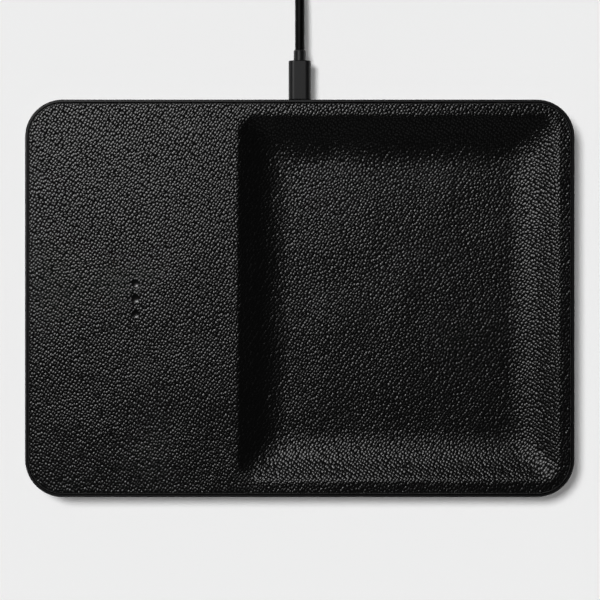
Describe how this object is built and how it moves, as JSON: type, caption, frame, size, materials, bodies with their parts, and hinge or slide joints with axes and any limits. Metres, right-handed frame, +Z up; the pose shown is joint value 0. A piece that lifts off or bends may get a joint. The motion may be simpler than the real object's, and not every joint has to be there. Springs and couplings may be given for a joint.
{
  "type": "charging station organizer",
  "caption": "Flat leather-topped wireless charging tray with a square dished catch-all recess, a thin rim frame and a plug-in USB-C cable coiled behind it.",
  "frame": {"origin": "bottom centre of the tray, on the surface that it stands on, without its cable", "axes": "+X along the tray's length from the charging area to the recess, +Y towards the back edge with the socket, +Z up"},
  "size_m": [0.264, 0.3252, 0.016],
  "materials": {
    "pad_rubber": "fine matt texture",
    "base_metal": "matt black",
    "screw_steel": "black zinc",
    "rim_metal": "smooth satin black",
    "leather": "black, pebble grain",
    "form_plastic": "moulded, black",
    "coil_copper": "enamelled copper",
    "ferrite": "sintered, dark grey",
    "chip_plastic": "moulded epoxy",
    "board": "green solder mask",
    "capacitor": "fired, tan",
    "header_plastic": "natural nylon",
    "lead_jacket": "soft jacket",
    "flex_film": "polyimide film",
    "socket_steel": "nickel plated",
    "plug_plastic": "moulded, satin black",
    "cord_jacket": "smooth satin black",
    "tie_fabric": "woven hook and loop strap",
    "far_white": "moulded, white"
  },
  "bodies": {
    "tray": {"non_slip_pad": "pad_rubber", "base_plate": "base_metal", "base_screws": "screw_steel", "rim_frame": "rim_metal", "leather_top": "leather", "top_form": "form_plastic", "coil_front": "coil_copper", "coil_middle": "coil_copper", "coil_rear": "coil_copper", "ferrite_sheet": "ferrite", "coil_carrier": "form_plastic", "carrier_screws": "screw_steel", "thermistor": "chip_plastic", "main_board": "board", "board_screws": "screw_steel", "controller_chips": "chip_plastic", "power_inductors": "ferrite", "resonance_capacitors": "capacitor", "coil_headers": "header_plastic", "coil_leads": "lead_jacket", "usb_board": "board", "usb_board_screws": "screw_steel", "flex_cable": "flex_film", "flex_connectors": "header_plastic", "socket_shell": "socket_steel", "socket_tongue": "chip_plastic"},
    "cable": {"plug_shell": "socket_steel", "plug_insulator": "chip_plastic", "plug_overmould": "plug_plastic", "plug_collar": "plug_plastic", "cord_lead": "cord_jacket", "cord_coil": "cord_jacket", "cord_tail": "cord_jacket", "cord_tie": "tie_fabric", "far_collar": "plug_plastic", "far_overmould": "plug_plastic", "far_shell": "socket_steel", "far_insulator": "far_white"}
  },
  "joints": [
    {"name": "plug_slide", "type": "slide", "parent": "tray", "child": "cable", "axis": [0, 1, 0], "range_m": [0, 0.012]}
  ]
}
